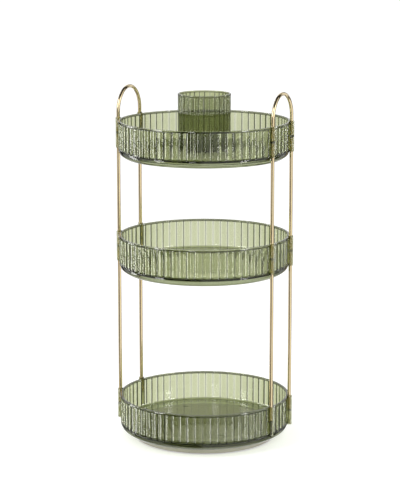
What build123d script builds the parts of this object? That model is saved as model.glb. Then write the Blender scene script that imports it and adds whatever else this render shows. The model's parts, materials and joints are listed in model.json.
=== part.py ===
from build123d import *

import os
from math import cos, radians, sin

# A rotating three-tier vanity organizer. Millimetres, +Z up, origin on the ground under the axis.
# Three equal fluted trays stand above each other on sectional rods, and turn on a ball bearing base.

# ---- driving dimensions ----

# Tiers: the heights from one tray's rim to the next tray's rim.
LOWER_TIER_PITCH = 230.0
UPPER_TIER_PITCH = 160.5

# Tray: a round pan with a fluted wall, a thin smooth rim, and a foot ring that curves inwards.
TRAY_DIAMETER = 240.0
TRAY_HEIGHT = 51.0
TRAY_INNER_DEPTH = 41.0
TRAY_FLOOR = 2.2
TRAY_FLOOR_CORNER = 4.0
RIM_HEIGHT = 2.4
RIM_THICKNESS = 3.6
RIM_OVERHANG = 0.8
RIM_ROUNDING = 0.7
TRAY_FLUTES = 68
TRAY_FLUTE_DEPTH = 1.3
TRAY_FLUTE_FOOT = 3.0
BEAD_HEIGHT = 1.2
BEAD_DEPTH = 0.9
BEAD_ROUNDING = 0.4
FOOT_RING_INSET = 6.9
FOOT_RING_THICKNESS = 2.2
FOOT_CURVE_HEIGHT = 5.0
FOOT_CURVE_RADIUS = 7.0
FOOT_ROUNDING = 0.5

# Sleeves: four upright sockets on each tray's wall, each closed by a partition at mid height.
SLEEVE_FLUTES_OFF_CENTRE = 3
SLEEVE_DIAMETER = 7.6
SLEEVE_STAND_OFF = 1.5
SLEEVE_ABOVE_RIM = 1.4
SLEEVE_EDGE_ROUNDING = 0.4
SLEEVE_WEB = 5.6
SOCKET_DEPTH = 20.2
SOCKET_PARTITION = 2.0
SOCKET_CLEARANCE = 0.05
SOCKET_END_GAP = 0.1

# Rods, and the two hoop handles bent from the same rod.
ROD_DIAMETER = 5.0
ROD_CHAMFER = 0.5
HANDLE_STRAIGHT = 8.5

# Cup: a loose fluted cup on the top tray's floor.
CUP_DIAMETER = 74.0
CUP_HEIGHT = 78.0
CUP_FLOOR = 2.4
CUP_FLOOR_CORNER = 2.0
CUP_RIM_HEIGHT = 2.0
CUP_RIM_THICKNESS = 2.8
CUP_RIM_OVERHANG = 0.4
CUP_RIM_ROUNDING = 0.5
CUP_FLUTES = 30
CUP_FLUTE_DEPTH = 1.0
CUP_FLUTE_FOOT = 2.5
CUP_FOOT_HEIGHT = 3.0
CUP_FOOT_ROUNDING = 1.2
CUP_SEAT_GAP = 0.05

# The share of a flute's depth that stays as a ledge at its foot, on the trays and the cup.
FLUTE_LEDGE = 0.2

# Turntable base: a disc that is hollow below, on rubber pads.
BASE_DIAMETER = 199.0
BASE_HEIGHT = 9.5
BASE_TOP_PLATE = 3.2
BASE_SKIRT = 2.4
BASE_EDGE_ROUNDING = 1.2
BASE_RIBS = 12
BASE_RIB_THICKNESS = 1.8
BASE_RIB_RELIEF = 2.0
PAD_COUNT = 6
PAD_DIAMETER = 16.0
PAD_HEIGHT = 2.3
PAD_EDGE_ROUNDING = 0.5
PAD_SEAT_DEPTH = 0.8
PAD_SEAT_WALL = 1.6
PAD_SEAT_FLOOR = 1.6
PAD_INSET = 14.5

# Ball bearing between the base and the rotor plate.
BALL_COUNT = 24
BALL_DIAMETER = 6.0
BALL_CIRCLE_RADIUS = 60.0
BALL_CLEARANCE = 0.08
BEARING_GAP = 3.3
CAGE_THICKNESS = 1.6
CAGE_MARGIN = 3.0

# Rotor plate under the bottom tray's floor, and the pivot at its centre.
ROTOR_DIAMETER = 180.0
ROTOR_THICKNESS = 4.0
ROTOR_HUB_DIAMETER = 26.0
ROTOR_HUB_GAP = 0.5
PIVOT_DIAMETER = 6.0
PIVOT_CLEARANCE = 0.08
PIVOT_HEAD_DIAMETER = 12.0
PIVOT_HEAD_HEIGHT = 2.4
PIVOT_HEAD_ROUNDING = 0.5
PIVOT_HEX_SOCKET = 4.0
PIVOT_HEX_DEPTH = 1.4
PIVOT_BOSS_WALL = 2.5
PIVOT_BOSS_RELIEF = 0.6
WASHER_DIAMETER = 14.0
WASHER_THICKNESS = 0.8
NUT_ACROSS_FLATS = 10.0
NUT_HEIGHT = 4.6
FIT_CLEARANCE = 0.05
RUNNING_GAP = 0.1

# Screws that hold the rotor plate to bosses under the bottom tray's floor.
SCREW_COUNT = 4
SCREW_CIRCLE_RADIUS = 78.0
SCREW_DIAMETER = 2.8
SCREW_CLEARANCE = 0.2
SCREW_HEAD_DIAMETER = 6.0
SCREW_HEAD_HEIGHT = 1.8
SCREW_HEAD_ROUNDING = 0.8
SCREW_DRIVE_WIDTH = 0.9
SCREW_DRIVE_LENGTH = 3.2
SCREW_DRIVE_DEPTH = 0.9
SCREW_END_WALL = 0.7
SCREW_BOSS_DIAMETER = 7.6
SCREW_BOSS_LENGTH = 2.4

# ---- places worked out from the driving dimensions ----

BASE_BOTTOM_Z = PAD_HEIGHT - PAD_SEAT_DEPTH
BASE_TOP_Z = BASE_BOTTOM_Z + BASE_HEIGHT
BASE_PLATE_Z = BASE_TOP_Z - BASE_TOP_PLATE
PAD_CIRCLE_RADIUS = BASE_DIAMETER / 2 - PAD_INSET
BALL_CENTRE_Z = BASE_TOP_Z + BEARING_GAP / 2
ROTOR_BOTTOM_Z = BASE_TOP_Z + BEARING_GAP
ROTOR_TOP_Z = ROTOR_BOTTOM_Z + ROTOR_THICKNESS

# The pivot bolt's head and washer sit in a counterbore under the base's centre.
PIVOT_HEAD_Z = BASE_BOTTOM_Z + PIVOT_BOSS_RELIEF
WASHER_Z = PIVOT_HEAD_Z + PIVOT_HEAD_HEIGHT
PIVOT_SEAT_Z = WASHER_Z + WASHER_THICKNESS + RUNNING_GAP
NUT_Z = ROTOR_TOP_Z - FIT_CLEARANCE - NUT_HEIGHT

# A tray is drawn with its rim at z = 0, so its floor and its foot lie below.
TRAY_RADIUS = TRAY_DIAMETER / 2
INNER_RADIUS = TRAY_RADIUS - RIM_THICKNESS
CREST_RADIUS = TRAY_RADIUS - RIM_OVERHANG
FLOOR_Z = -TRAY_INNER_DEPTH
FLOOR_UNDER_Z = FLOOR_Z - TRAY_FLOOR
SLEEVE_CIRCLE_RADIUS = TRAY_RADIUS + SLEEVE_STAND_OFF
SLEEVE_ANGLE = SLEEVE_FLUTES_OFF_CENTRE * 360 / TRAY_FLUTES
SLEEVE_ANGLES = [SLEEVE_ANGLE, 180 - SLEEVE_ANGLE, 180 + SLEEVE_ANGLE, 360 - SLEEVE_ANGLE]
SOCKET_RADIUS = ROD_DIAMETER / 2 + SOCKET_CLEARANCE
PARTITION_TOP_Z = SLEEVE_ABOVE_RIM - SOCKET_DEPTH
PARTITION_BOTTOM_Z = PARTITION_TOP_Z - SOCKET_PARTITION
SLEEVE_BOTTOM_Z = PARTITION_BOTTOM_Z - SOCKET_DEPTH

BOTTOM_RIM_Z = ROTOR_TOP_Z - FLOOR_UNDER_Z
MIDDLE_RIM_Z = BOTTOM_RIM_Z + LOWER_TIER_PITCH
TOP_RIM_Z = MIDDLE_RIM_Z + UPPER_TIER_PITCH


# ---- helpers ----

# Cylinders and cones stand on their base.
STANDING = (Align.CENTER, Align.CENTER, Align.MIN)


def polar(radius, angle, z=0.0):
    """The point at a radius and an angle in degrees about Z."""
    return Vector(radius * cos(radians(angle)), radius * sin(radians(angle)), z)


def turned(points, radii):
    """A solid turned about Z from a half section of (radius, z) corners with their roundings."""
    outline = FilletPolyline([(r, 0, z) for r, z in points], radius=radii, close=True)
    return revolve(make_face(outline.edges()), Axis.Z)


def disc(radius, z_low, z_high):
    """An upright cylinder about Z."""
    return Pos(0, 0, z_low) * Cylinder(radius, z_high - z_low, align=STANDING)


def ring(outer, inner, z_low, z_high):
    """An upright tube about Z."""
    return disc(outer, z_low, z_high) - disc(inner, z_low, z_high)


def around(count, radius, shape, start=0.0):
    """Copies of a shape, evenly spaced on a circle about Z."""
    return [Pos(polar(radius, start + i * 360 / count)) * shape for i in range(count)]


def fluted_disc(crest_radius, depth, count, z_low, z_high, foot):
    """A disc edged with outward arcs, one for each flute, whose feet die into a cone."""
    pitch = 360 / count
    groove_radius = crest_radius - depth
    arcs = []
    for i in range(count):
        groove = polar(groove_radius, (i - 0.5) * pitch)
        crest = polar(crest_radius, i * pitch)
        next_groove = polar(groove_radius, (i + 0.5) * pitch)
        arcs.append(ThreePointArc(groove, crest, next_groove))
    height = z_high - z_low
    prism = extrude(make_face(arcs), height)
    ledge_radius = groove_radius + FLUTE_LEDGE * depth
    slope = (crest_radius - ledge_radius) / foot
    cone = Cone(ledge_radius, ledge_radius + slope * height, height, align=STANDING)
    return Pos(0, 0, z_low) * (prism & cone)


def cavity(radius, floor_z, top_z, corner, lip):
    """The inside of a pan: a rounded floor corner and a flared lip."""
    return turned(
        [
            (0, floor_z),
            (radius, floor_z),
            (radius, top_z - lip),
            (radius + lip, top_z),
            (0, top_z),
        ],
        [0, corner, 0, 0, 0],
    )


# ---- trays ----


def tray_foot(groove_radius):
    """The turned lower part of a tray: floor, bead under the flutes, inward foot ring."""
    foot_z = -TRAY_HEIGHT
    foot_radius = groove_radius - FOOT_RING_INSET
    knee_z = foot_z + FOOT_CURVE_HEIGHT
    bead_z = FLOOR_Z - BEAD_HEIGHT
    return turned(
        [
            (0, FLOOR_Z),
            (0, FLOOR_UNDER_Z),
            (groove_radius - FOOT_RING_THICKNESS, FLOOR_UNDER_Z),
            (groove_radius - FOOT_RING_THICKNESS, knee_z),
            (foot_radius - FOOT_RING_THICKNESS, foot_z),
            (foot_radius, foot_z),
            (groove_radius, knee_z),
            (groove_radius, bead_z),
            (groove_radius + BEAD_DEPTH, bead_z),
            (groove_radius + BEAD_DEPTH, FLOOR_Z),
        ],
        [0, 0, 0, 0, 0, FOOT_ROUNDING, FOOT_CURVE_RADIUS, 0, BEAD_ROUNDING, 0],
    )


def sleeve():
    """One sleeve on the Z axis, with a web towards the tray's wall on its -X side."""
    column = disc(SLEEVE_DIAMETER / 2, SLEEVE_BOTTOM_Z, SLEEVE_ABOVE_RIM)
    column = fillet(column.edges().filter_by(GeomType.CIRCLE), SLEEVE_EDGE_ROUNDING)
    web_length = SLEEVE_CIRCLE_RADIUS - INNER_RADIUS - RIM_ROUNDING
    web_height = -RIM_HEIGHT - SLEEVE_BOTTOM_Z
    web = Box(web_length, SLEEVE_WEB, web_height, align=(Align.MAX, Align.CENTER, Align.MIN))
    return column + Pos(0, 0, SLEEVE_BOTTOM_Z) * web


def sockets():
    """The two blind holes of a sleeve on the Z axis, above and below the partition."""
    upper = disc(SOCKET_RADIUS, PARTITION_TOP_Z, SLEEVE_ABOVE_RIM)
    lower = disc(SOCKET_RADIUS, SLEEVE_BOTTOM_Z, PARTITION_BOTTOM_Z)
    return upper + lower


def tray():
    """One tray with its fluted wall and its four sleeves, rim at z = 0."""
    groove_radius = CREST_RADIUS - TRAY_FLUTE_DEPTH
    flutes = fluted_disc(
        CREST_RADIUS, TRAY_FLUTE_DEPTH, TRAY_FLUTES, FLOOR_Z, -RIM_HEIGHT, TRAY_FLUTE_FOOT
    )
    rim = turned(
        [(0, -RIM_HEIGHT), (TRAY_RADIUS, -RIM_HEIGHT), (TRAY_RADIUS, 0), (0, 0)],
        [0, 0, RIM_ROUNDING, 0],
    )
    inside = cavity(INNER_RADIUS, FLOOR_Z, 0, TRAY_FLOOR_CORNER, RIM_ROUNDING)
    places = [Rot(0, 0, angle) * Pos(SLEEVE_CIRCLE_RADIUS, 0, 0) for angle in SLEEVE_ANGLES]
    solid = tray_foot(groove_radius) + flutes + rim - inside
    solid = solid + [place * sleeve() for place in places]
    return solid - [place * sockets() for place in places]


def with_screw_bosses(plain_tray):
    """A tray with blind bosses under its floor for the rotor plate's screws."""
    boss_z = FLOOR_UNDER_Z - SCREW_BOSS_LENGTH
    boss = disc(SCREW_BOSS_DIAMETER / 2, boss_z, FLOOR_UNDER_Z)
    pilot = disc(SCREW_DIAMETER / 2 + FIT_CLEARANCE, boss_z, FLOOR_Z - SCREW_END_WALL)
    bosses = around(SCREW_COUNT, SCREW_CIRCLE_RADIUS, boss, 180 / SCREW_COUNT)
    pilots = around(SCREW_COUNT, SCREW_CIRCLE_RADIUS, pilot, 180 / SCREW_COUNT)
    return plain_tray + bosses - pilots


# ---- rods and handles ----


def rod(lower_rim_z, upper_rim_z, angle):
    """A straight rod between the sleeves of two trays, from partition to partition."""
    low = lower_rim_z + PARTITION_TOP_Z + SOCKET_END_GAP
    high = upper_rim_z + PARTITION_BOTTOM_Z - SOCKET_END_GAP
    bar = disc(ROD_DIAMETER / 2, low, high)
    bar = chamfer(bar.edges().filter_by(GeomType.CIRCLE), ROD_CHAMFER)
    return Pos(polar(SLEEVE_CIRCLE_RADIUS, angle)) * bar


def handle(side):
    """A hoop in the two top sleeves on one side: side is 1 for +X and -1 for -X."""
    foot_z = TOP_RIM_Z + PARTITION_TOP_Z + SOCKET_END_GAP
    bend_z = TOP_RIM_Z + HANDLE_STRAIGHT
    leg = polar(SLEEVE_CIRCLE_RADIUS, SLEEVE_ANGLE)
    x = side * leg.X
    left = Line((x, -leg.Y, foot_z), (x, -leg.Y, bend_z))
    arch = ThreePointArc((x, -leg.Y, bend_z), (x, 0, bend_z + leg.Y), (x, leg.Y, bend_z))
    right = Line((x, leg.Y, bend_z), (x, leg.Y, foot_z))
    section = Pos(x, -leg.Y, foot_z) * Circle(ROD_DIAMETER / 2)
    hoop = sweep(section, path=Wire([left, arch, right]))
    ends = hoop.edges().filter_by(GeomType.CIRCLE).filter_by_position(Axis.Z, foot_z, foot_z)
    return chamfer(ends, ROD_CHAMFER)


# ---- cup ----


def brush_cup():
    """The loose cup, on the top tray's floor."""
    radius = CUP_DIAMETER / 2
    crest_radius = radius - CUP_RIM_OVERHANG
    groove_radius = crest_radius - CUP_FLUTE_DEPTH
    rim_z = CUP_HEIGHT - CUP_RIM_HEIGHT
    foot = turned(
        [(0, CUP_FOOT_HEIGHT), (0, 0), (groove_radius, 0), (groove_radius, CUP_FOOT_HEIGHT)],
        [0, 0, CUP_FOOT_ROUNDING, 0],
    )
    flutes = fluted_disc(
        crest_radius, CUP_FLUTE_DEPTH, CUP_FLUTES, CUP_FOOT_HEIGHT, rim_z, CUP_FLUTE_FOOT
    )
    rim = turned(
        [(0, rim_z), (radius, rim_z), (radius, CUP_HEIGHT), (0, CUP_HEIGHT)],
        [0, 0, CUP_RIM_ROUNDING, 0],
    )
    inside = cavity(
        radius - CUP_RIM_THICKNESS, CUP_FLOOR, CUP_HEIGHT, CUP_FLOOR_CORNER, CUP_RIM_ROUNDING
    )
    return Pos(0, 0, TOP_RIM_Z + FLOOR_Z + CUP_SEAT_GAP) * (foot + flutes + rim - inside)


# ---- turntable base ----


def ball_groove():
    """The round track that the balls leave in the base and in the rotor plate."""
    return Pos(0, 0, BALL_CENTRE_Z) * Torus(
        BALL_CIRCLE_RADIUS, BALL_DIAMETER / 2 + BALL_CLEARANCE
    )


def base_disc():
    """The base: top plate, skirt, ribs, pad seats, pivot boss and ball groove."""
    radius = BASE_DIAMETER / 2
    skirt_inner = radius - BASE_SKIRT
    counterbore = WASHER_DIAMETER / 2 + RUNNING_GAP
    boss_radius = counterbore + PIVOT_BOSS_WALL
    shell = turned(
        [
            (0, BASE_TOP_Z),
            (radius, BASE_TOP_Z),
            (radius, BASE_BOTTOM_Z),
            (skirt_inner, BASE_BOTTOM_Z),
            (skirt_inner, BASE_PLATE_Z),
            (0, BASE_PLATE_Z),
        ],
        [0, BASE_EDGE_ROUNDING, BASE_EDGE_ROUNDING, 0, 0, 0],
    )
    rib_z = BASE_BOTTOM_Z + BASE_RIB_RELIEF
    rib_height = BASE_PLATE_Z - rib_z
    rib_length = skirt_inner + BASE_SKIRT / 2
    rib = Pos(rib_length / 2, 0, rib_z + rib_height / 2) * Box(
        rib_length, BASE_RIB_THICKNESS, rib_height
    )
    step = 360 / BASE_RIBS
    ribs = [Rot(0, 0, (i + 0.5) * step) * rib for i in range(BASE_RIBS)]
    track_rib = ring(
        BALL_CIRCLE_RADIUS + BASE_RIB_THICKNESS / 2,
        BALL_CIRCLE_RADIUS - BASE_RIB_THICKNESS / 2,
        rib_z,
        BASE_PLATE_Z,
    )
    seat_radius = PAD_DIAMETER / 2 + FIT_CLEARANCE
    seat = disc(seat_radius + PAD_SEAT_WALL, BASE_BOTTOM_Z, BASE_PLATE_Z)
    pad_top_z = BASE_BOTTOM_Z + PAD_SEAT_DEPTH
    recess = disc(seat_radius, BASE_BOTTOM_Z, pad_top_z)
    hollow = disc(seat_radius, pad_top_z + PAD_SEAT_FLOOR, BASE_PLATE_Z)
    body = shell + ribs + track_rib + disc(boss_radius, BASE_BOTTOM_Z, BASE_PLATE_Z)
    body = body + around(PAD_COUNT, PAD_CIRCLE_RADIUS, seat)
    body = body - around(PAD_COUNT, PAD_CIRCLE_RADIUS, recess)
    body = body - around(PAD_COUNT, PAD_CIRCLE_RADIUS, hollow)
    body = body - disc(counterbore, BASE_BOTTOM_Z, PIVOT_SEAT_Z)
    body = body - disc(PIVOT_DIAMETER / 2 + PIVOT_CLEARANCE, PIVOT_SEAT_Z, BASE_TOP_Z)
    return body - ball_groove()


def foot_pad(index):
    """One rubber pad in its seat under the base."""
    pad = disc(PAD_DIAMETER / 2, 0, PAD_HEIGHT)
    low_edge = pad.edges().filter_by(GeomType.CIRCLE).sort_by(Axis.Z)[0]
    pad = fillet(low_edge, PAD_EDGE_ROUNDING)
    return Pos(polar(PAD_CIRCLE_RADIUS, index * 360 / PAD_COUNT)) * pad


def steel_balls():
    """The bearing's balls, as separate solids."""
    ball = Pos(0, 0, BALL_CENTRE_Z) * Sphere(BALL_DIAMETER / 2)
    return Compound(around(BALL_COUNT, BALL_CIRCLE_RADIUS, ball))


def ball_cage():
    """The flat ring that spaces the balls."""
    reach = BALL_DIAMETER / 2 + CAGE_MARGIN
    low = BALL_CENTRE_Z - CAGE_THICKNESS / 2
    high = BALL_CENTRE_Z + CAGE_THICKNESS / 2
    band = ring(BALL_CIRCLE_RADIUS + reach, BALL_CIRCLE_RADIUS - reach, low, high)
    hole = disc(BALL_DIAMETER / 2 + BALL_CLEARANCE, low, high)
    return band - around(BALL_COUNT, BALL_CIRCLE_RADIUS, hole)


def rotor_plate():
    """The plate under the bottom tray: ball groove, nut pocket in a hub, boss and screw holes."""
    hub_z = BASE_TOP_Z + ROTOR_HUB_GAP
    pocket = RegularPolygon(NUT_ACROSS_FLATS / 2 + FIT_CLEARANCE, 6, major_radius=False)
    pocket_z = NUT_Z - FIT_CLEARANCE
    boss_hole = disc(
        SCREW_BOSS_DIAMETER / 2 + FIT_CLEARANCE,
        ROTOR_TOP_Z - SCREW_BOSS_LENGTH - FIT_CLEARANCE,
        ROTOR_TOP_Z,
    )
    screw_hole = disc(SCREW_DIAMETER / 2 + SCREW_CLEARANCE, ROTOR_BOTTOM_Z, ROTOR_TOP_Z)
    body = disc(ROTOR_DIAMETER / 2, ROTOR_BOTTOM_Z, ROTOR_TOP_Z)
    body = body + disc(ROTOR_HUB_DIAMETER / 2, hub_z, ROTOR_BOTTOM_Z)
    body = body - Pos(0, 0, pocket_z) * extrude(pocket, ROTOR_TOP_Z - pocket_z)
    body = body - disc(PIVOT_DIAMETER / 2 + FIT_CLEARANCE, hub_z, ROTOR_TOP_Z)
    body = body - around(SCREW_COUNT, SCREW_CIRCLE_RADIUS, boss_hole, 180 / SCREW_COUNT)
    body = body - around(SCREW_COUNT, SCREW_CIRCLE_RADIUS, screw_hole, 180 / SCREW_COUNT)
    return body - ball_groove()


def pivot_bolt():
    """The bolt the turntable turns about, its head down, with a hex socket."""
    radius = PIVOT_DIAMETER / 2
    head_radius = PIVOT_HEAD_DIAMETER / 2
    tip_z = NUT_Z + NUT_HEIGHT
    body = turned(
        [
            (0, PIVOT_HEAD_Z),
            (head_radius, PIVOT_HEAD_Z),
            (head_radius, WASHER_Z),
            (radius, WASHER_Z),
            (radius, tip_z),
            (0, tip_z),
        ],
        [0, PIVOT_HEAD_ROUNDING, 0, 0, 0, 0],
    )
    socket = RegularPolygon(PIVOT_HEX_SOCKET / 2, 6, major_radius=False)
    return body - Pos(0, 0, PIVOT_HEAD_Z) * extrude(socket, PIVOT_HEX_DEPTH)


def thrust_washer():
    """The washer between the pivot bolt's head and the base."""
    bore = PIVOT_DIAMETER / 2 + PIVOT_CLEARANCE
    return ring(WASHER_DIAMETER / 2, bore, WASHER_Z, WASHER_Z + WASHER_THICKNESS)


def pivot_nut():
    """The hex nut in the rotor plate's pocket."""
    hexagon = RegularPolygon(NUT_ACROSS_FLATS / 2, 6, major_radius=False)
    body = Pos(0, 0, NUT_Z) * extrude(hexagon, NUT_HEIGHT)
    return body - disc(PIVOT_DIAMETER / 2 + FIT_CLEARANCE, NUT_Z, NUT_Z + NUT_HEIGHT)


def rotor_screws():
    """The pan head screws from below through the rotor plate, as separate solids."""
    head_z = ROTOR_BOTTOM_Z - SCREW_HEAD_HEIGHT
    tip_z = BOTTOM_RIM_Z + FLOOR_Z - SCREW_END_WALL - FIT_CLEARANCE
    body = turned(
        [
            (0, head_z),
            (SCREW_HEAD_DIAMETER / 2, head_z),
            (SCREW_HEAD_DIAMETER / 2, ROTOR_BOTTOM_Z),
            (SCREW_DIAMETER / 2, ROTOR_BOTTOM_Z),
            (SCREW_DIAMETER / 2, tip_z),
            (0, tip_z),
        ],
        [0, SCREW_HEAD_ROUNDING, 0, 0, 0, 0],
    )
    slot = Box(SCREW_DRIVE_LENGTH, SCREW_DRIVE_WIDTH, 2 * SCREW_DRIVE_DEPTH)
    cross = Pos(0, 0, head_z) * (slot + Rot(0, 0, 90) * slot)
    return Compound(
        around(SCREW_COUNT, SCREW_CIRCLE_RADIUS, body - cross, 180 / SCREW_COUNT)
    )


# ---- the whole part ----


def all_nodes():
    """Every sub-part by its node name, in place."""
    plain_tray = tray()
    nodes = {
        "base_disc": base_disc(),
        "steel_balls": steel_balls(),
        "ball_cage": ball_cage(),
        "rotor_plate": rotor_plate(),
        "rotor_screws": rotor_screws(),
        "pivot_bolt": pivot_bolt(),
        "thrust_washer": thrust_washer(),
        "pivot_nut": pivot_nut(),
        "bottom_tray": Pos(0, 0, BOTTOM_RIM_Z) * with_screw_bosses(plain_tray),
        "middle_tray": Pos(0, 0, MIDDLE_RIM_Z) * plain_tray,
        "top_tray": Pos(0, 0, TOP_RIM_Z) * plain_tray,
        "handle_right": handle(1),
        "handle_left": handle(-1),
        "brush_cup": brush_cup(),
    }
    for i in range(PAD_COUNT):
        nodes[f"foot_pad_{i + 1}"] = foot_pad(i)
    for i, angle in enumerate(SLEEVE_ANGLES):
        nodes[f"lower_rod_{i + 1}"] = rod(BOTTOM_RIM_Z, MIDDLE_RIM_Z, angle)
        nodes[f"upper_rod_{i + 1}"] = rod(MIDDLE_RIM_Z, TOP_RIM_Z, angle)
    return nodes


os.makedirs("parts", exist_ok=True)
for name, shape in all_nodes().items():
    export_step(shape, f"parts/{name}.step")
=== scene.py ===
import json
import math

import bmesh
import bpy
from mathutils import Matrix


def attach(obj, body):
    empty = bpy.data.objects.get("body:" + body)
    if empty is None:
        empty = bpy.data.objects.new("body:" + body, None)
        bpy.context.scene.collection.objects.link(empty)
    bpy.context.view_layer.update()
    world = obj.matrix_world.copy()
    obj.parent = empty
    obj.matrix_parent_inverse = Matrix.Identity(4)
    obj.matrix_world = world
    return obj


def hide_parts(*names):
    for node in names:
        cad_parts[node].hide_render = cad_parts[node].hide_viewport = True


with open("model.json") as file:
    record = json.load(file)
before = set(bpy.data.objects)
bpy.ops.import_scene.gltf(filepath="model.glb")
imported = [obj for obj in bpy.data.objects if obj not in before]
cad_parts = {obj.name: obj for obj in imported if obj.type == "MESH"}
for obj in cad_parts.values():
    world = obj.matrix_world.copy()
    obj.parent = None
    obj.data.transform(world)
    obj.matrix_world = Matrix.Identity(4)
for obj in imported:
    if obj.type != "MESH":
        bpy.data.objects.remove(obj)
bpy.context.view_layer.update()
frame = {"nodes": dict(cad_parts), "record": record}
NODES = frame["nodes"]

# ---------------------------------------------------------------- camera
CAMERA_TURN = math.radians(24.8)  # from the front, round the turning axis
CAMERA_DISTANCE = 2.636578
CAMERA_HEIGHT = 0.79247
CAMERA_PITCH = math.radians(11.243)
LENS = 137.9
SHIFT_X = -0.0086

scene = bpy.context.scene
cam_data = bpy.data.cameras.new("camera")
cam_data.lens = LENS
cam_data.sensor_width = 36
cam_data.sensor_fit = "AUTO"
cam_data.shift_x = SHIFT_X
cam = bpy.data.objects.new("camera", cam_data)
cam.location = (
    CAMERA_DISTANCE * math.sin(CAMERA_TURN),
    -CAMERA_DISTANCE * math.cos(CAMERA_TURN),
    CAMERA_HEIGHT,
)
cam.rotation_euler = (math.pi / 2 - CAMERA_PITCH, 0, CAMERA_TURN)
scene.collection.objects.link(cam)
scene.camera = cam
scene.view_settings.view_transform = "Standard"


# ---------------------------------------------------------------- clear mouldings' sizes in mm
MM = 0.001

# a tray, with its rim at z = 0
TRAY_R = 120.0
TRAY_IN_R = 116.4
CREST_R = 119.2
FLUTE_DEPTH = 1.3
TRAY_FLUTES = 68
GROOVE_R = CREST_R - FLUTE_DEPTH
RIM_H = 2.4
RIM_ROUND = 0.7
FLOOR_Z = -41.0
UNDER_Z = -43.2
FOOT_Z = -51.0
KNEE_Z = -46.0
KNEE_ROUND = 7.0
FOOT_R = GROOVE_R - 6.9
FOOT_WALL = 2.2
BEAD_R = GROOVE_R + 0.9
BEAD_H = 1.2
CORNER = 4.0
FLUTE_FOOT = 3.0
LEDGE = 0.2  # the share of a flute's depth that stays at its foot
SHARPNESS = 2.7  # above 2, flutes are flatter on top and steeper at their grooves
SLEEVE_AT_R = 121.5
SLEEVE_R = 3.8
SLEEVE_TOP = 1.4
SLEEVE_LOW = -40.97
SOCKET_R = 2.55
SOCKET_TOP_END = -18.8
SOCKET_LOW_END = -20.8
WEB_HALF = 2.8
SLEEVE_ANGLE = 3 * 360 / TRAY_FLUTES
SLEEVE_ANGLES = (
    SLEEVE_ANGLE,
    180 - SLEEVE_ANGLE,
    180 + SLEEVE_ANGLE,
    360 - SLEEVE_ANGLE,
)
BOSS_AT_R = 78.0
BOSS_ANGLES = (45, 135, 225, 315)
BOSS_R = 3.8
BOSS_LOW = UNDER_Z - 2.4
PILOT_R = 1.45
PILOT_TOP = -41.7
RIM_Z = {"bottom_tray": 61.5, "middle_tray": 291.5, "top_tray": 452.0}
# places across one flute, from its crest to its groove, closer together near the groove
ACROSS = (0.0, 0.3, 0.55, 0.74, 0.87, 0.95, 1.0)
GROOVE_SOFT = 0.06

# the cup, with its underside at z = 0
CUP_Z = 411.05
CUP_R = 37.0
CUP_H = 78.0
CUP_IN_R = 34.2
CUP_FLOOR = 2.4
CUP_CORNER = 2.0
CUP_RIM_H = 2.0
CUP_ROUND = 0.5
CUP_GROOVE_R = 35.6
CUP_DEPTH = 1.0
CUP_CREST_R = CUP_GROOVE_R + CUP_DEPTH
CUP_FLUTES = 30
CUP_FOOT_H = 3.0
CUP_FOOT_ROUND = 1.2
CUP_FLUTE_FOOT = 2.5


# ---------------------------------------------------------------- materials
def new_material(name):
    mat = bpy.data.materials.new(name)
    mat.use_nodes = True
    nt = mat.node_tree
    nt.nodes.clear()
    out = nt.nodes.new("ShaderNodeOutputMaterial")
    return mat, nt, out


def math_node(nt, operation, a, b=None):
    node = nt.nodes.new("ShaderNodeMath")
    node.operation = operation
    for i, value in enumerate((a, b)):
        if value is None:
            continue
        if isinstance(value, (int, float)):
            node.inputs[i].default_value = value
        else:
            nt.links.new(value, node.inputs[i])
    return node.outputs[0]


def noise(nt, scale, detail=3.0, stretch=(1, 1, 1)):
    coord = nt.nodes.new("ShaderNodeTexCoord")
    mapping = nt.nodes.new("ShaderNodeMapping")
    mapping.inputs["Scale"].default_value = stretch
    tex = nt.nodes.new("ShaderNodeTexNoise")
    tex.inputs["Scale"].default_value = scale
    tex.inputs["Detail"].default_value = detail
    nt.links.new(coord.outputs["Object"], mapping.inputs["Vector"])
    nt.links.new(mapping.outputs["Vector"], tex.inputs["Vector"])
    return tex.outputs["Fac"]


def ramp(nt, fac, low, high, a=0.3, b=0.7):
    node = nt.nodes.new("ShaderNodeMapRange")
    node.inputs["From Min"].default_value = a
    node.inputs["From Max"].default_value = b
    node.inputs["To Min"].default_value = low
    node.inputs["To Max"].default_value = high
    nt.links.new(fac, node.inputs["Value"])
    return node.outputs["Result"]


def colour_ramp(nt, fac, low, high, a=0.3, b=0.7):
    node = nt.nodes.new("ShaderNodeValToRGB")
    node.color_ramp.elements[0].position = a
    node.color_ramp.elements[0].color = (*low, 1)
    node.color_ramp.elements[1].position = b
    node.color_ramp.elements[1].color = (*high, 1)
    nt.links.new(fac, node.inputs["Fac"])
    return node.outputs["Color"]


def mix_colour(nt, fac, low, high):
    node = nt.nodes.new("ShaderNodeMix")
    node.data_type = "RGBA"
    nt.links.new(fac, node.inputs["Factor"])
    for name, value in (("A", low), ("B", high)):
        socket = [i for i in node.inputs if i.name == name and i.type == "RGBA"][0]
        if isinstance(value, tuple):
            socket.default_value = (*value, 1)
        else:
            nt.links.new(value, socket)
    return [o for o in node.outputs if o.type == "RGBA"][0]


def bump(nt, height, strength, distance):
    node = nt.nodes.new("ShaderNodeBump")
    node.inputs["Strength"].default_value = strength
    node.inputs["Distance"].default_value = distance
    nt.links.new(height, node.inputs["Height"])
    return node.outputs["Normal"]


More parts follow.
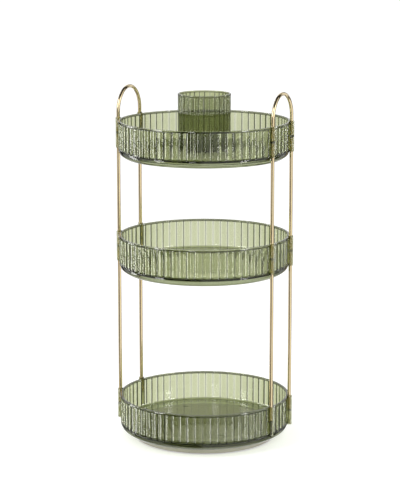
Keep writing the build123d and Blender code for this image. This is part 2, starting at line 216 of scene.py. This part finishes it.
def band(nt, value, low, high, soft):
    """1 between low and high, falling to 0 over soft on each side."""
    parts = []
    for edge, sign in ((low, 1), (high, -1)):
        node = nt.nodes.new("ShaderNodeMapRange")
        node.interpolation_type = "SMOOTHSTEP"
        node.inputs["From Min"].default_value = edge - soft * (sign + 1) / 2
        node.inputs["From Max"].default_value = edge + soft * (1 - sign) / 2
        node.inputs["To Min"].default_value = (1 - sign) / 2
        node.inputs["To Max"].default_value = (1 + sign) / 2
        nt.links.new(value, node.inputs["Value"])
        parts.append(node.outputs["Result"])
    return math_node(nt, "MULTIPLY", *parts)


def clear_green(
    name, flutes, groove_r, crest_r, inner_r, floor_z, line_width, density, bands
):
    """Tinted clear plastic with painted shade: a dark line down each groove, a clear strip of
    painted highlight beside it, and bands of height in mm that paint shade on edges and the foot
    and tint the sleeves darker.
    """
    mat, nt, out = new_material(name)
    p = nt.nodes.new("ShaderNodeBsdfPrincipled")
    p.inputs["Transmission Weight"].default_value = 1.0
    p.inputs["IOR"].default_value = CLEAR_IOR
    p.inputs["Roughness"].default_value = CLEAR_ROUGHNESS
    coord = nt.nodes.new("ShaderNodeTexCoord")
    xyz = nt.nodes.new("ShaderNodeSeparateXYZ")
    nt.links.new(coord.outputs["Object"], xyz.inputs[0])
    x, y, z = (math_node(nt, "MULTIPLY", xyz.outputs[i], 1 / MM) for i in range(3))
    square_x, square_y = (math_node(nt, "POWER", v, 2.0) for v in (x, y))
    radius = math_node(nt, "SQRT", math_node(nt, "ADD", square_x, square_y))
    turn = math_node(nt, "ARCTAN2", y, x)
    turn = math_node(nt, "MULTIPLY", turn, flutes / (2 * math.pi))
    phase = math_node(nt, "FRACT", math_node(nt, "ADD", turn, flutes + 0.5))
    off_crest = math_node(nt, "ABSOLUTE", math_node(nt, "SUBTRACT", phase, 0.5))
    wander = ramp(nt, noise(nt, 45.0, 2.0, UPRIGHT), -0.012, 0.012)
    off = math_node(nt, "ADD", off_crest, wander)
    wall = band(nt, radius, groove_r - 0.25, crest_r + 0.15, 0.1)
    above_floor = band(nt, z, floor_z - 0.4, 999.0, 0.2)
    inside = math_node(nt, "MULTIPLY", band(nt, radius, -1.0, inner_r + 0.4, 0.2), above_floor)
    colour = mix_colour(nt, inside, CLEAR_TINT, INNER_TINT)
    # panel tint on the crests, then a clear strip beside each groove line as a painted highlight
    panel = colour_ramp(nt, off, PANEL_TINT, CLEAR_TINT, *PANEL_EDGE)
    colour = mix_colour(nt, wall, colour, panel)
    # painted shade: a dark line down each flute's groove, for the shade that the plastic's
    # refraction gives there
    line = band(nt, off, 0.5 - line_width / 2, 1.0, line_width / 2)
    line = math_node(nt, "MULTIPLY", line, wall)
    dark = ramp(nt, noise(nt, 70.0, 1.0, UPRIGHT), *GROOVE_SHADE_RANGE, 0.35, 0.62)
    line = math_node(nt, "MULTIPLY", line, dark)
    colour = mix_colour(nt, line, colour, PAINTED_SHADE_TINT)
    # bands of painted shade at edges and over the foot, and a darker tint on the sleeves
    for low, high, r_low, r_high, amount, tint in bands:
        here = band(nt, z, low, high, 0.35)
        here = math_node(nt, "MULTIPLY", here, band(nt, radius, r_low, r_high, 0.2))
        colour = mix_colour(nt, math_node(nt, "MULTIPLY", here, amount), colour, tint)
    nt.links.new(colour, p.inputs["Base Color"])
    fine = noise(nt, 90.0, 1.0, UPRIGHT)
    nt.links.new(bump(nt, fine, GRAIN_STRENGTH, GRAIN_DEPTH), p.inputs["Normal"])
    vol = nt.nodes.new("ShaderNodeVolumeAbsorption")
    vol.inputs["Color"].default_value = (*VOLUME_TINT, 1)
    vol.inputs["Density"].default_value = density
    passing = nt.nodes.new("ShaderNodeBsdfTransparent")
    passing.inputs["Color"].default_value = (*PASSING_TINT, 1)
    lp = nt.nodes.new("ShaderNodeLightPath")
    most = math_node(nt, "MAXIMUM", lp.outputs["Is Shadow Ray"], lp.outputs["Is Diffuse Ray"])
    mix = nt.nodes.new("ShaderNodeMixShader")
    nt.links.new(most, mix.inputs[0])
    nt.links.new(p.outputs["BSDF"], mix.inputs[1])
    nt.links.new(passing.outputs[0], mix.inputs[2])
    nt.links.new(mix.outputs[0], out.inputs["Surface"])
    nt.links.new(vol.outputs["Volume"], out.inputs["Volume"])
    return mat


def gold():
    mat, nt, out = new_material("gold_plating")
    p = nt.nodes.new("ShaderNodeBsdfPrincipled")
    p.inputs["Metallic"].default_value = 1.0
    blot = noise(nt, 35.0, 4.0)
    colour = colour_ramp(nt, blot, (0.78, 0.63, 0.38), (0.86, 0.72, 0.47))
    nt.links.new(colour, p.inputs["Base Color"])
    fine = noise(nt, 220.0, 3.0, (1, 1, 0.15))
    nt.links.new(ramp(nt, fine, 0.10, 0.18), p.inputs["Roughness"])
    nt.links.new(bump(nt, fine, 0.06, 0.0001), p.inputs["Normal"])
    nt.links.new(p.outputs["BSDF"], out.inputs["Surface"])
    return mat


def plastic(name, low, high, rough=(0.35, 0.5), grain=900.0, strength=0.15):
    mat, nt, out = new_material(name)
    p = nt.nodes.new("ShaderNodeBsdfPrincipled")
    blot = noise(nt, 18.0, 4.0)
    nt.links.new(colour_ramp(nt, blot, low, high), p.inputs["Base Color"])
    fine = noise(nt, grain, 3.0)
    nt.links.new(ramp(nt, blot, *rough), p.inputs["Roughness"])
    nt.links.new(bump(nt, fine, strength, 0.0001), p.inputs["Normal"])
    nt.links.new(p.outputs["BSDF"], out.inputs["Surface"])
    return mat


def metal(name, low, high, rough):
    mat, nt, out = new_material(name)
    p = nt.nodes.new("ShaderNodeBsdfPrincipled")
    p.inputs["Metallic"].default_value = 1.0
    blot = noise(nt, 120.0, 4.0)
    nt.links.new(colour_ramp(nt, blot, low, high), p.inputs["Base Color"])
    nt.links.new(ramp(nt, noise(nt, 700.0, 2.0), *rough), p.inputs["Roughness"])
    nt.links.new(p.outputs["BSDF"], out.inputs["Surface"])
    return mat


CLEAR_IOR = 1.49
CLEAR_ROUGHNESS = 0.04
GRAIN_STRENGTH = 0.02
GRAIN_DEPTH = 0.0006  # metres
VOLUME_TINT = (0.44, 0.49, 0.06)
PASSING_TINT = (0.94, 0.97, 0.92)  # for light that lamps send through
CLEAR_TINT = (0.985, 0.99, 0.97)
# the colour of the painted shade lines at the grooves and edges
PAINTED_SHADE_TINT = (0.004, 0.007, 0.001)
PANEL_TINT = (0.68, 0.70, 0.57)
# from a panel's end to the groove's line the clear strip is a painted highlight
PANEL_EDGE = (0.30, 0.40)  # off a flute's crest, in flutes, where its panel ends
# how much the painted shade line in a groove darkens, least and most
GROOVE_SHADE_RANGE = (0.45, 0.97)  # least and most darkening of a groove's line
INNER_TINT = (0.82, 0.84, 0.75)
# painted shade over the foot ring under each tray
FOOT_PAINTED_SHADE = (0.25, 0.29, 0.14)
SLEEVE_TINT = (0.36, 0.36, 0.17)
UPRIGHT = (1, 1, 0.05)  # grain drawn out along the height
# height low and high, radius low and high, all in mm, how much, and of which tint
# painted shade: dark lines under the rim, where the flutes meet the bead, along the foot ring's
# bottom edge and at the sleeves' partition, and shade over the foot ring; the fifth band tints the
# sleeves darker
TRAY_BANDS = (
    (-3.3, -1.3, 117.5, 121.0, 0.9, PAINTED_SHADE_TINT),
    (-41.5, -40.4, 117.5, 119.5, 0.4, PAINTED_SHADE_TINT),
    (-50.4, -42.6, 100.0, 118.2, 0.85, FOOT_PAINTED_SHADE),
    (-52.0, -50.2, 100.0, 115.0, 0.8, PAINTED_SHADE_TINT),
    (-42.0, 1.6, 120.3, 126.0, 0.75, SLEEVE_TINT),
    (-20.9, -18.7, 119.5, 126.0, 0.7, PAINTED_SHADE_TINT),
)
# painted shade lines round the cup's bottom, above its foot and under its rim
CUP_BANDS = (
    (0.0, 1.5, 25.0, 37.0, 0.6, PAINTED_SHADE_TINT),
    (2.4, 3.4, 35.0, 37.0, 0.7, PAINTED_SHADE_TINT),
    (75.4, 76.6, 35.0, 38.0, 0.8, PAINTED_SHADE_TINT),
)
# how wide a groove's painted shade line is, in flutes, and how dense the plastic is
TRAY_LINE, TRAY_DENSITY = 0.10, 215.0
CUP_LINE, CUP_DENSITY = 0.15, 430.0
GREEN = clear_green(
    "clear_green_plastic",
    TRAY_FLUTES,
    GROOVE_R,
    CREST_R,
    TRAY_IN_R,
    FLOOR_Z,
    TRAY_LINE,
    TRAY_DENSITY,
    TRAY_BANDS,
)
CUP_GREEN = clear_green(
    "clear_green_cup",
    CUP_FLUTES,
    CUP_GROOVE_R,
    CUP_CREST_R,
    CUP_IN_R,
    CUP_FLOOR,
    CUP_LINE,
    CUP_DENSITY,
    CUP_BANDS,
)
GOLD = gold()
PALE = plastic("pale_plastic", (0.55, 0.51, 0.46), (0.60, 0.565, 0.515))
CAGE = plastic("cage_plastic", (0.26, 0.26, 0.27), (0.32, 0.32, 0.33))
PAD = plastic("pad_rubber", (0.10, 0.10, 0.10), (0.15, 0.15, 0.15), (0.7, 0.9), 500.0, 0.5)
STEEL = metal("steel", (0.58, 0.58, 0.58), (0.68, 0.68, 0.69), (0.22, 0.36))

SLOTS = {
    "clear_green_plastic": GREEN,
    "gold_plating": GOLD,
    "pale_plastic": PALE,
    "cage_plastic": CAGE,
    "pad_rubber": PAD,
    "steel": STEEL,
}
for sub in frame["record"]["subparts"]:
    obj = NODES[sub["node"]]
    mat = SLOTS[sub["material_slot"]]
    if obj.data.materials:
        for i in range(len(obj.data.materials)):
            obj.data.materials[i] = mat
    else:
        obj.data.materials.append(mat)

# ---------------------------------------------------------------- clear mouldings
def flute_angles(count):
    """Angles in radians round a fluted wall, each with its height above the groove, 0 to 1."""
    result = []
    for i in range(count):
        for step in range(-len(ACROSS) + 1, len(ACROSS) - 1):
            share = math.copysign(ACROSS[abs(step)], step)
            height = 1 - abs(share) ** SHARPNESS
            height = GROOVE_SOFT + height * (1 - GROOVE_SOFT) if abs(share) == 1 else height
            result.append(((i + share / 2) * 2 * math.pi / count, height))
    return result


def arc(x, z, radius, start, end, steps):
    """Points of an arc in a half section, from start to end degrees."""
    return [
        (
            x + radius * math.cos(math.radians(start + (end - start) * k / steps)),
            z + radius * math.sin(math.radians(start + (end - start) * k / steps)),
        )
        for k in range(steps + 1)
    ]


def lathe(name, angles, rows):
    """A turned solid. A row is (radius, z) or a function of the flute height that gives one."""
    verts, rings = [], []
    for row in rows:
        if not callable(row) and row[0] == 0:
            rings.append([len(verts)])
            verts.append((0, 0, row[1] * MM))
            continue
        ring = []
        for angle, height in angles:
            r, z = row(height) if callable(row) else row
            ring.append(len(verts))
            verts.append((r * MM * math.cos(angle), r * MM * math.sin(angle), z * MM))
        rings.append(ring)
    faces = []
    n = len(angles)
    for one, two in zip(rings, rings[1:]):
        for i in range(n):
            j = (i + 1) % n
            if len(one) == 1:
                faces.append((one[0], two[i], two[j]))
            elif len(two) == 1:
                faces.append((one[i], two[0], one[j]))
            else:
                faces.append((one[i], two[i], two[j], one[j]))
    mesh = bpy.data.meshes.new(name)
    mesh.from_pydata(verts, [], faces)
    bm = bmesh.new()
    bm.from_mesh(mesh)
    bmesh.ops.recalc_face_normals(bm, faces=bm.faces)
    bm.to_mesh(mesh)
    bm.free()
    obj = bpy.data.objects.new(name, mesh)
    scene.collection.objects.link(obj)
    return obj


def plain_angles(count):
    return [(i * 2 * math.pi / count, 0.0) for i in range(count)]


def placed(obj, radius, angle):
    """Moves a mesh's points to a radius and an angle in degrees about Z."""
    turn = Matrix.Rotation(math.radians(angle), 4, "Z")
    obj.data.transform(turn @ Matrix.Translation((radius * MM, 0, 0)))
    return obj


def combine(obj, others, operation):
    """A boolean of one mesh with several that don't touch each other, which are used up."""
    bm = bmesh.new()
    for other in others:
        bm.from_mesh(other.data)
        bpy.data.objects.remove(other)
    tool_mesh = bpy.data.meshes.new("tool")
    bm.to_mesh(tool_mesh)
    bm.free()
    tool = bpy.data.objects.new("tool", tool_mesh)
    scene.collection.objects.link(tool)
    mod = obj.modifiers.new("join", "BOOLEAN")
    mod.operation = operation
    mod.solver = "EXACT"
    mod.object = tool
    depsgraph = bpy.context.evaluated_depsgraph_get()
    result = bpy.data.meshes.new_from_object(obj.evaluated_get(depsgraph))
    obj.modifiers.clear()
    obj.data = result
    bpy.data.objects.remove(tool)
    return obj


SHARP_ANGLE = math.radians(32.0)  # edges bent more than this stay sharp


def soften(obj):
    obj.data.shade_smooth()
    obj.data.set_sharp_from_angle(angle=SHARP_ANGLE)


def fluted(groove_r, depth, z, grow=0.0):
    """A row round the fluted wall."""
    return lambda height: (groove_r + depth * height + grow, z)


def fluted_foot(groove_r, depth, low, reach, steps):
    """Rows down the feet of the flutes, which die into a cone."""
    ledge_r = groove_r + LEDGE * depth

    def row(k):
        cone = ledge_r + (groove_r + depth - ledge_r) * k / steps
        return lambda height: (min(groove_r + depth * height, cone), low + reach * k / steps)

    return [row(k) for k in range(steps, -1, -1)]


def tray_rows():
    slope = math.degrees(math.atan2(KNEE_Z - FOOT_Z, GROOVE_R - FOOT_R))
    turn = 90 - slope
    knee_top = KNEE_Z + KNEE_ROUND * math.tan(math.radians(turn / 2))
    rows = [(0, FLOOR_Z), (40, FLOOR_Z), (90, FLOOR_Z), (TRAY_IN_R - CORNER - 0.5, FLOOR_Z)]
    rows += arc(TRAY_IN_R - CORNER, FLOOR_Z + CORNER, CORNER, -90, 0, 6)
    rows += [(TRAY_IN_R, FLOOR_Z + CORNER + 0.5), (TRAY_IN_R, -RIM_ROUND - 0.4)]
    rows += arc(TRAY_IN_R + RIM_ROUND, -RIM_ROUND, RIM_ROUND, 180, 90, 3)
    rows += [(TRAY_IN_R + RIM_ROUND + 0.3, 0), (TRAY_R - RIM_ROUND - 0.3, 0)]
    rows += arc(TRAY_R - RIM_ROUND, -RIM_ROUND, RIM_ROUND, 90, 0, 4)
    rows += [(TRAY_R, -RIM_ROUND - 0.25), (TRAY_R, -RIM_H + 0.45)]
    rows += arc(TRAY_R - 0.2, -RIM_H + 0.2, 0.2, 0, -90, 2)
    for z, grow in ((-RIM_H, 0.3), (-RIM_H - 0.09, 0.09), (-RIM_H - 0.3, 0), (-RIM_H - 0.8, 0)):
        rows.append(fluted(GROOVE_R, FLUTE_DEPTH, z, grow))
    rows.append(fluted(GROOVE_R, FLUTE_DEPTH, FLOOR_Z + FLUTE_FOOT + 0.4))
    rows += fluted_foot(GROOVE_R, FLUTE_DEPTH, FLOOR_Z, FLUTE_FOOT, 6)
    rows += [(BEAD_R - 0.15, FLOOR_Z), (BEAD_R, FLOOR_Z - 0.15), (BEAD_R, FLOOR_Z - BEAD_H + 0.4)]
    rows += arc(BEAD_R - 0.4, FLOOR_Z - BEAD_H + 0.4, 0.4, -20, -90, 3)
    rows += [(GROOVE_R + 0.1, FLOOR_Z - BEAD_H), (GROOVE_R, FLOOR_Z - BEAD_H - 0.1)]
    knee_top = min(knee_top, FLOOR_Z - BEAD_H - 0.2)
    rows += arc(GROOVE_R - KNEE_ROUND, knee_top, KNEE_ROUND, 0, -turn, 7)
    rows += [(FOOT_R + 0.45, FOOT_Z + 0.33), (FOOT_R + 0.1, FOOT_Z + 0.1), (FOOT_R - 0.35, FOOT_Z)]
    rows += [(FOOT_R - FOOT_WALL + 0.2, FOOT_Z), (FOOT_R - FOOT_WALL, FOOT_Z + 0.15)]
    rows += [(GROOVE_R - FOOT_WALL - 0.3, KNEE_Z - 0.25), (GROOVE_R - FOOT_WALL, KNEE_Z + 0.4)]
    rows += [(GROOVE_R - FOOT_WALL, UNDER_Z - 0.4), (GROOVE_R - FOOT_WALL - 0.4, UNDER_Z)]
    rows += [(108, UNDER_Z), (60, UNDER_Z), (0, UNDER_Z)]
    return rows


def sleeve_mesh():
    """One sleeve on the Z axis with its two sockets and its web towards the tray's wall."""
    edge = 0.4
    rows = [(0, SOCKET_TOP_END), (SOCKET_R, SOCKET_TOP_END), (SOCKET_R, SLEEVE_TOP - 0.15)]
    rows += [(SOCKET_R + 0.15, SLEEVE_TOP), (SLEEVE_R - edge, SLEEVE_TOP)]
    rows += arc(SLEEVE_R - edge, SLEEVE_TOP - edge, edge, 90, 0, 3)[1:]
    rows += [(SLEEVE_R, SLEEVE_TOP - edge - 0.3), (SLEEVE_R, SLEEVE_LOW + edge + 0.3)]
    rows += arc(SLEEVE_R - edge, SLEEVE_LOW + edge, edge, 0, -90, 3)
    rows += [(SOCKET_R + 0.15, SLEEVE_LOW), (SOCKET_R, SLEEVE_LOW + 0.15)]
    rows += [(SOCKET_R, SOCKET_LOW_END), (0, SOCKET_LOW_END)]
    column = lathe("sleeve", plain_angles(48), rows)
    web = bpy.data.meshes.new("web")
    bm = bmesh.new()
    bmesh.ops.create_cube(bm, size=1)
    low, high = SLEEVE_LOW + 0.03, -RIM_H + 0.4
    near, far = TRAY_IN_R + RIM_ROUND - SLEEVE_AT_R, -SOCKET_R - 0.05
    for v in bm.verts:
        v.co.x = (near if v.co.x < 0 else far) * MM
        v.co.y = WEB_HALF * math.copysign(1, v.co.y) * MM
        v.co.z = (low if v.co.z < 0 else high) * MM
    bm.to_mesh(web)
    bm.free()
    side = bpy.data.objects.new("web", web)
    scene.collection.objects.link(side)
    return combine(column, [side], "UNION")


def copy_of(obj, name):
    other = bpy.data.objects.new(name, obj.data.copy())
    scene.collection.objects.link(other)
    return other


CLEAR_PIECES = bpy.data.collections.new("clear_pieces")


def post_mesh(name, sides, radius, top, low):
    """An upright cylinder on the Z axis."""
    rows = [(0, top), (radius, top), (radius, low), (0, low)]
    return lathe(name, plain_angles(sides), rows)


def make_trays():
    one = lathe("tray", flute_angles(TRAY_FLUTES), tray_rows())
    pattern = sleeve_mesh()
    sleeves = [placed(copy_of(pattern, "sleeve"), SLEEVE_AT_R, angle) for angle in SLEEVE_ANGLES]
    bpy.data.objects.remove(pattern)
    combine(one, sleeves, "UNION")
    for node, rim in RIM_Z.items():
        piece = copy_of(one, node + "_moulding")
        if node == "bottom_tray":
            posts, holes = [], []
            for angle in BOSS_ANGLES:
                post = post_mesh("boss", 32, BOSS_R, UNDER_Z + 0.5, BOSS_LOW)
                hole = post_mesh("pilot", 24, PILOT_R, PILOT_TOP, BOSS_LOW - 1)
                posts.append(placed(post, BOSS_AT_R, angle))
                holes.append(placed(hole, BOSS_AT_R, angle))
            combine(piece, posts, "UNION")
            combine(piece, holes, "DIFFERENCE")
        piece.location.z = rim * MM
        soften(piece)
        piece.data.materials.clear()
        piece.data.materials.append(GREEN)
        CLEAR_PIECES.objects.link(piece)
        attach(piece, "carousel")
        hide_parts(node)
    bpy.data.objects.remove(one)


make_trays()


def cup_rows():
    rim = CUP_H - CUP_RIM_H
    top = CUP_H - CUP_ROUND
    rows = [(0, CUP_FLOOR), (20, CUP_FLOOR), (CUP_IN_R - CUP_CORNER - 0.3, CUP_FLOOR)]
    rows += arc(CUP_IN_R - CUP_CORNER, CUP_FLOOR + CUP_CORNER, CUP_CORNER, -90, 0, 5)
    rows += [(CUP_IN_R, CUP_FLOOR + CUP_CORNER + 0.4), (CUP_IN_R, top - 0.4)]
    rows += arc(CUP_IN_R + CUP_ROUND, top, CUP_ROUND, 180, 90, 3)
    rows += [(CUP_IN_R + CUP_ROUND + 0.25, CUP_H), (CUP_R - CUP_ROUND - 0.25, CUP_H)]
    rows += arc(CUP_R - CUP_ROUND, top, CUP_ROUND, 90, 0, 3)
    rows += [(CUP_R, top - 0.2), (CUP_R, rim + 0.3)]
    rows += arc(CUP_R - 0.15, rim + 0.15, 0.15, 0, -90, 2)
    for z, grow in ((rim, 0.15), (rim - 0.08, 0.05), (rim - 0.25, 0), (rim - 0.7, 0)):
        rows.append(fluted(CUP_GROOVE_R, CUP_DEPTH, z, grow))
    rows.append(fluted(CUP_GROOVE_R, CUP_DEPTH, CUP_FOOT_H + CUP_FLUTE_FOOT + 0.4))
    rows += fluted_foot(CUP_GROOVE_R, CUP_DEPTH, CUP_FOOT_H, CUP_FLUTE_FOOT, 6)
    rows += [(CUP_GROOVE_R + 0.05, CUP_FOOT_H - 0.05), (CUP_GROOVE_R, CUP_FOOT_H - 0.15)]
    rows += [(CUP_GROOVE_R, CUP_FOOT_ROUND + 0.2)]
    rows += arc(CUP_GROOVE_R - CUP_FOOT_ROUND, CUP_FOOT_ROUND, CUP_FOOT_ROUND, 0, -90, 5)
    rows += [(CUP_GROOVE_R - CUP_FOOT_ROUND - 0.3, 0), (16, 0), (0, 0)]
    return rows


cup = lathe("brush_cup_moulding", flute_angles(CUP_FLUTES), cup_rows())
cup.location.z = CUP_Z * MM
soften(cup)
cup.data.materials.append(CUP_GREEN)
CLEAR_PIECES.objects.link(cup)
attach(cup, "cup")
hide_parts("brush_cup")

# ---------------------------------------------------------------- floor and light
FLOOR_HALF = 40.0
mesh = bpy.data.meshes.new("floor")
mesh.from_pydata(
    [(FLOOR_HALF * x, FLOOR_HALF * y, 0) for x, y in ((-1, -1), (1, -1), (1, 1), (-1, 1))],
    [],
    [(0, 1, 2, 3)],
)
floor = bpy.data.objects.new("floor", mesh)
floor.location = (0, 0, -0.0002)
scene.collection.objects.link(floor)
# mirrored rays see the studio below the horizon too, so upright glossy walls show its screens
floor.visible_glossy = False
floor.visible_shadow = False


def seen_ray(nt):
    """1 for rays from the camera, off gloss or through glass."""
    rays = nt.nodes.new("ShaderNodeLightPath").outputs
    most = math_node(nt, "MAXIMUM", rays["Is Camera Ray"], rays["Is Glossy Ray"])
    return math_node(nt, "MAXIMUM", most, rays["Is Transmission Ray"])


FLOOR_COLOUR = (0.86, 0.86, 0.86, 1)
FLOOR_GLOW = 0.45
mat, nt, out = new_material("floor")
d = nt.nodes.new("ShaderNodeBsdfDiffuse")
d.inputs["Color"].default_value = FLOOR_COLOUR
e = nt.nodes.new("ShaderNodeEmission")
e.inputs["Color"].default_value = (1, 1, 1, 1)
glow = math_node(nt, "MULTIPLY", seen_ray(nt), FLOOR_GLOW)
nt.links.new(glow, e.inputs["Strength"])
add = nt.nodes.new("ShaderNodeAddShader")
nt.links.new(d.outputs[0], add.inputs[0])
nt.links.new(e.outputs[0], add.inputs[1])
nt.links.new(add.outputs[0], out.inputs["Surface"])
floor.data.materials.append(mat)

world = bpy.data.worlds.new("studio")
scene.world = world
world.use_nodes = True
nt = world.node_tree
nt.nodes.clear()
out = nt.nodes.new("ShaderNodeOutputWorld")
bg = nt.nodes.new("ShaderNodeBackground")
bg.inputs["Color"].default_value = (1, 1, 1, 1)
WORLD_LIGHT = 0.75  # what the world gives to matt surfaces
FLAG_LIGHT = 0.03  # the dark flags between the white screens
# flags in degrees round from the camera, positive to its right: from, to
CLEAR_FLAGS = ((30, 60), (120, 150), (-150, -120), (-60, -30))  # as seen through the plastic
GLOSS_FLAGS = ((-58, -8), (108, 124), (146, 160), (-160, -146), (-124, -108))  # as mirrored
SOFT = 6.0
CEILING = 38.0  # degrees up, above which it is dark


def screens(nt, direction, flags):
    """A white surround with dark flags and a dark ceiling."""
    xyz = nt.nodes.new("ShaderNodeSeparateXYZ")
    nt.links.new(direction, xyz.inputs[0])
    # the angle is 0 towards the camera, which stands at -90 degrees turned by CAMERA_TURN
    turn = math_node(nt, "ARCTAN2", xyz.outputs["Y"], xyz.outputs["X"])
    turn = math_node(nt, "ADD", turn, math.pi / 2 - CAMERA_TURN)
    turn = math_node(nt, "WRAP", turn, math.pi)
    turn.node.inputs[2].default_value = -math.pi
    dark = None
    for low, high in flags:
        here = band(nt, turn, math.radians(low), math.radians(high), math.radians(SOFT))
        dark = here if dark is None else math_node(nt, "MAXIMUM", dark, here)
    up = band(nt, xyz.outputs["Z"], -2.0, math.sin(math.radians(CEILING)), 0.2)
    white = math_node(nt, "MULTIPLY", math_node(nt, "SUBTRACT", 1.0, dark), up)
    return ramp(nt, white, FLAG_LIGHT, 1.0, 0.0, 1.0)


def pick(nt, fac, low, high):
    """low where fac is 0, high where it is 1: numbers or sockets."""
    one = math_node(nt, "MULTIPLY", math_node(nt, "SUBTRACT", 1.0, fac), low)
    return math_node(nt, "ADD", one, math_node(nt, "MULTIPLY", fac, high))


lp = nt.nodes.new("ShaderNodeLightPath")
coord = nt.nodes.new("ShaderNodeTexCoord").outputs["Generated"]
level = pick(nt, lp.outputs["Is Camera Ray"], WORLD_LIGHT, 1.0)
level = pick(nt, lp.outputs["Is Transmission Ray"], level, screens(nt, coord, CLEAR_FLAGS))
level = pick(nt, lp.outputs["Is Glossy Ray"], level, screens(nt, coord, GLOSS_FLAGS))
nt.links.new(level, bg.inputs["Strength"])
nt.links.new(bg.outputs[0], out.inputs["Surface"])


AIM_Z = 0.25  # the height on the turning axis that every lamp points at


def lamp(name, azimuth, height, distance, size, power, gloss_only=False):
    """A soft square lamp; azimuth is round from the camera, positive to its right."""
    a = CAMERA_TURN + math.radians(azimuth)
    data = bpy.data.lights.new(name, "AREA")
    data.shape = "RECTANGLE"
    data.size, data.size_y = size
    data.energy = power
    obj = bpy.data.objects.new(name, data)
    obj.location = (distance * math.sin(a), -distance * math.cos(a), height)
    direction = obj.location.copy()
    direction.z -= AIM_Z
    obj.rotation_euler = direction.to_track_quat("Z", "Y").to_euler()
    scene.collection.objects.link(obj)
    if gloss_only:
        obj.visible_diffuse = obj.visible_transmission = False
        obj.light_linking.receiver_collection = CLEAR_PIECES
    return obj


lamp("key", -50, 1.5, 1.9, (1.0, 1.4), 16)
lamp("fill", 60, 1.2, 2.1, (0.8, 1.4), 7)
# strips that only the clear pieces mirror: name, azimuth, distance, width, power
STRIPS = (
    ("far_left", -112, 1.6, 0.4, 20),
    ("left", -62, 1.6, 0.4, 24),
    ("middle", -16, 3.4, 0.5, 22),
    ("right", 54, 1.6, 0.3, 16),
    ("far_right", 104, 1.6, 0.3, 14),
)
STRIP_Z, STRIP_TALL = 0.5, 2.2
for side, azimuth, distance, width, power in STRIPS:
    size = (width, STRIP_TALL)
    lamp("strip_" + side, azimuth, STRIP_Z, distance, size, power, gloss_only=True)
